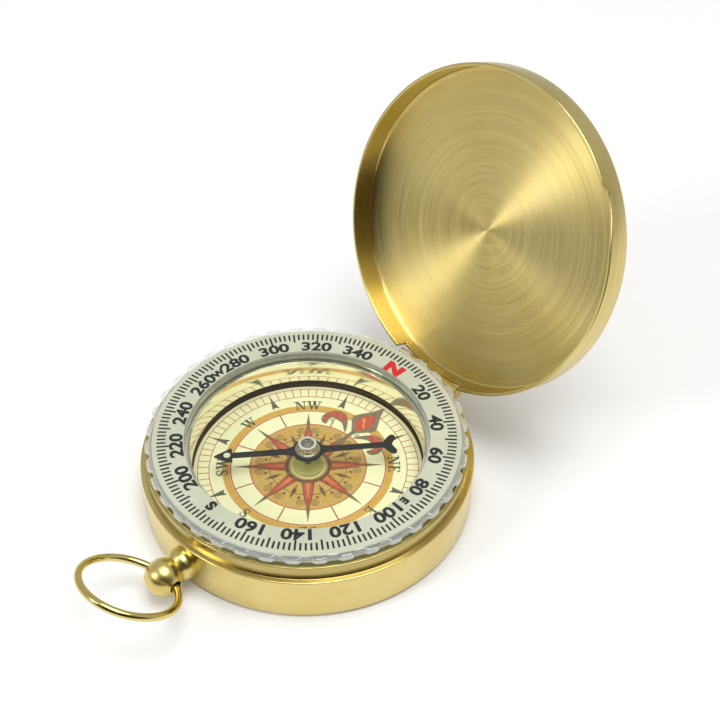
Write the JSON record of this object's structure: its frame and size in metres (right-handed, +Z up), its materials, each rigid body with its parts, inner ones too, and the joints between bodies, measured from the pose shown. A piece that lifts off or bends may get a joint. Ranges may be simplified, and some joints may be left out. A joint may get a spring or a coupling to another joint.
{
  "type": "geology compass",
  "caption": "Brass pocket compass with a hinged cup lid, a clear fluted turning bezel with a degree scale, a free needle over an antique rose dial, and a ball crown with a wire bow.",
  "frame": {"origin": "centre of the case's flat underside, on the surface it stands on", "axes": "+Z up out of the dial, +Y from the dial's centre towards the lid hinge, +X to the right with the hinge at the back"},
  "size_m": [0.05, 0.087, 0.0555],
  "materials": {
    "case_brass": "satin spun brass, lacquered",
    "hinge_brass": "satin brass",
    "lid_brass": "spun brass, turned finish inside",
    "pad": "soft grey foam",
    "carrier": "matte black moulding",
    "friction_rubber": "matte rubber",
    "cup": "dark brown moulding",
    "dial_card": "printed cream card with an antique rose",
    "boss_brass": "olive-tinted satin brass",
    "pin_steel": "ground steel",
    "mirror": "bright reflector",
    "needle_black": "black steel with a pale luminous dot",
    "cap_clear": "clear moulding",
    "jewel": "brown bearing jewel",
    "glass": "clear window",
    "scale": "pale luminous print with black degree marks",
    "bezel_clear": "clear fluted moulding",
    "crown_brass": "polished brass",
    "bow_brass": "polished brass wire"
  },
  "bodies": {
    "case": {"case_body": "case_brass", "case_hinge_lug": "hinge_brass", "hinge_pin": "hinge_brass", "seating_pad": "pad", "carrier_ring": "carrier", "friction_ring": "friction_rubber", "capsule_cup": "cup", "dial_plate": "dial_card", "pivot_boss": "boss_brass", "pivot_pin": "pin_steel", "mirror_ring": "mirror", "glass_disc": "glass", "crown_collar": "crown_brass", "crown_ball": "crown_brass", "crown_nut": "crown_brass"},
    "lid": {"lid_shell": "lid_brass", "lid_hinge_lug": "hinge_brass"},
    "bezel": {"bezel_ring": "bezel_clear", "scale_ring": "scale"},
    "needle": {"needle_blade": "needle_black", "needle_cap": "cap_clear", "needle_jewel": "jewel"},
    "bow": {"bow_ring": "bow_brass"}
  },
  "joints": [
    {"name": "lid_hinge", "type": "hinge", "parent": "case", "child": "lid", "pos_m": [0, 0.02495, 0.00842], "axis": [-1, 0, 0], "range_deg": [-110.44, 0]},
    {"name": "bezel_turn", "type": "hinge", "parent": "case", "child": "bezel", "pos_m": [0, 0, 0.0103], "axis": [0, 0, 1], "continuous": true},
    {"name": "needle_turn", "type": "hinge", "parent": "case", "child": "needle", "pos_m": [0, 0, 0.0084], "axis": [0, 0, 1], "continuous": true},
    {"name": "bow_swing", "type": "hinge", "parent": "case", "child": "bow", "pos_m": [0.00252, -0.02879, 0.00403], "axis": [-0.9962, -0.0872, 0], "range_deg": [-43.5, 75.5]}
  ]
}
